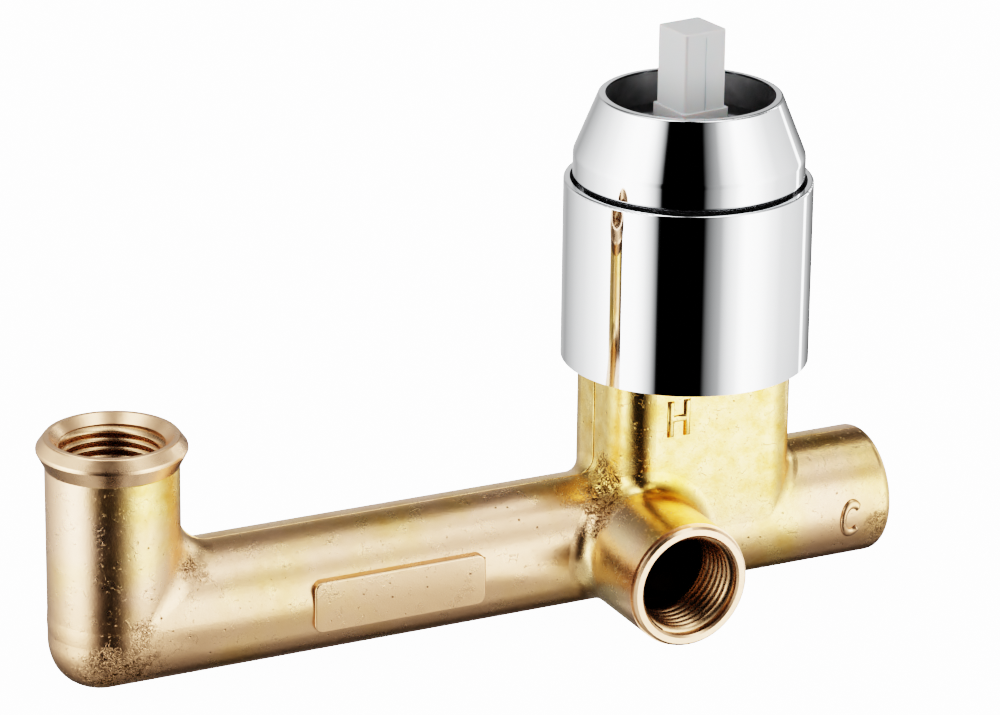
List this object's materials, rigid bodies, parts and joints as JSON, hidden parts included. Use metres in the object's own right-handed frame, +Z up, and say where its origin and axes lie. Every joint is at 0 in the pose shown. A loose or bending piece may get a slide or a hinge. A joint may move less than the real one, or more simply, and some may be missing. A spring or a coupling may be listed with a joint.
{
  "type": "concealed diverter body",
  "caption": "Concealed brass wall valve body: tube with raised spout elbow, hot and cold threaded inlets, chrome sleeve and dome, square lever stem on a ceramic disc cartridge.",
  "frame": {"origin": "centre of the trim sleeve's lower rim, on the lever axis", "axes": "+Z up the lever axis, +X towards the cold inlet, -Y towards the hot inlet, the spout port on the -X side"},
  "size_m": [0.1828, 0.0587, 0.1183],
  "materials": {
    "cast_brass": "tumbled casting with turned port faces",
    "turned_brass": "turned",
    "chrome": "mirror chrome plate on brass",
    "nylon": "moulded translucent white",
    "acetal": "moulded black",
    "ceramic": "lapped alumina, opaque",
    "rubber": "moulded",
    "steel": "ground pin"
  },
  "bodies": {
    "body": {"brass_body": "cast_brass", "dome_cap": "chrome", "lock_nut": "turned_brass", "sleeve_ring_lower": "rubber", "sleeve_ring_upper": "rubber", "cartridge_housing": "acetal", "cartridge_base": "acetal", "fixed_disc": "ceramic", "base_seal_hot": "rubber", "disc_seal_hot": "rubber", "base_seal_cold": "rubber", "disc_seal_cold": "rubber", "base_seal_outlet": "rubber", "disc_seal_outlet": "rubber"},
    "sleeve": {"trim_sleeve": "chrome"},
    "rotor": {"rotor": "acetal", "rotor_ring": "rubber", "lever_pin": "steel"},
    "lever": {"lever_stem": "nylon"},
    "slider": {"moving_disc": "ceramic", "disc_carrier": "acetal"}
  },
  "joints": [
    {"name": "lever_turn", "type": "hinge", "parent": "body", "child": "rotor", "pos_m": [0, 0, 0.0382], "axis": [0, 0, 1], "range_deg": [-56.8, 43.2]},
    {"name": "lever_tilt", "type": "hinge", "parent": "rotor", "child": "lever", "pos_m": [0, 0, 0.0382], "axis": [0.993, 0.1184, 0], "range_deg": [-12.5, 12.5]},
    {"name": "disc_slide", "type": "slide", "parent": "rotor", "child": "slider", "axis": [-0.1184, 0.993, 0], "range_m": [-0.00262, 0.00262]},
    {"name": "sleeve_slide", "type": "slide", "parent": "body", "child": "sleeve", "axis": [0, 0, 1], "range_m": [-0.008, 0.006]}
  ],
  "couplings": [
    {"joint": "disc_slide", "follows": "lever_tilt", "m_per_rad": 0.012}
  ]
}
